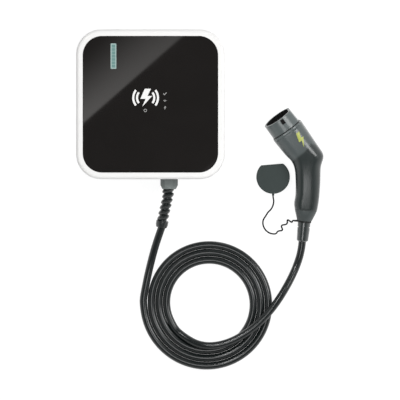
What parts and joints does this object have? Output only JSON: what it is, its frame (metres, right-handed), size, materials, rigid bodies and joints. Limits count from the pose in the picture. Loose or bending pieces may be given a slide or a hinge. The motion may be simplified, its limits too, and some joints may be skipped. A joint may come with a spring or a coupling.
{
  "type": "ev wallbox",
  "caption": "Square wall charging box with a glass front and a fixed coiled lead that ends in a pistol-grip vehicle connector with a loose dust cap.",
  "frame": {"origin": "middle of the wall face, at the back of the box", "axes": "+Z out of the box's front, +Y towards its top, +X to the right seen from the front; the lead lies on the plane of the wall face"},
  "size_m": [0.4257, 0.5851, 0.086],
  "materials": {
    "white_case": "fine moulded texture",
    "grey_case": "fine moulded texture",
    "black_glass": "polished black glass panel",
    "light_window": "satin diffuser",
    "cable_jacket": "smooth satin jacket",
    "relief_rubber": "satin",
    "gland_plastic": "satin",
    "handle_plastic": "fine texture, satin",
    "contact_plastic": "satin",
    "cap_rubber": "matte",
    "seal_rubber": "matte",
    "bond_foam": "matte",
    "silver_contact": "silver plated",
    "screw_steel": "zinc plated",
    "bracket_steel": "galvanised sheet",
    "board_laminate": "solder mask",
    "relay_plastic": "matte",
    "terminal_plastic": "matte",
    "module_shield": "tin plate",
    "led_resin": "clear resin",
    "antenna_copper": "copper foil",
    "core_insulation": "smooth"
  },
  "bodies": {
    "root": {"rear_housing": "grey_case", "front_cover": "white_case", "case_seal": "seal_rubber", "case_screws": "screw_steel", "front_glass": "black_glass", "glass_bond": "bond_foam", "light_bar": "light_window", "wall_bracket": "bracket_steel", "bracket_lock_screws": "screw_steel", "supply_grommet": "seal_rubber", "main_board": "board_laminate", "board_screws": "screw_steel", "power_relays": "relay_plastic", "supply_terminal": "terminal_plastic", "output_terminal": "terminal_plastic", "power_supply_module": "relay_plastic", "radio_module": "module_shield", "display_board": "board_laminate", "display_screws": "screw_steel", "status_leds": "led_resin", "card_antenna": "antenna_copper", "fault_current_sensor": "relay_plastic", "output_cores": "core_insulation", "gland_body": "gland_plastic", "gland_locknut": "gland_plastic", "gland_seal": "seal_rubber", "gland_cap": "gland_plastic", "bend_relief": "relief_rubber", "cable_gland_end": "cable_jacket", "cable_lead": "cable_jacket", "cable_coil": "cable_jacket", "cable_tail": "cable_jacket", "cable_handle_end": "cable_jacket", "handle_shell": "handle_plastic", "connector_nose": "handle_plastic", "nose_seal": "seal_rubber", "contact_carrier": "contact_plastic", "nose_screws": "screw_steel", "handle_cores": "core_insulation", "tail_nut": "handle_plastic", "tail_clamp": "gland_plastic", "tail_boot": "cap_rubber", "lanyard_eyelet": "cap_rubber", "dust_cap": "cap_rubber", "cap_lanyard": "cap_rubber", "contact_l1": "silver_contact", "contact_l2": "silver_contact", "contact_l3": "silver_contact", "contact_n": "silver_contact", "contact_pe": "silver_contact", "contact_cp": "silver_contact", "contact_pp": "silver_contact"}
  },
  "joints": []
}
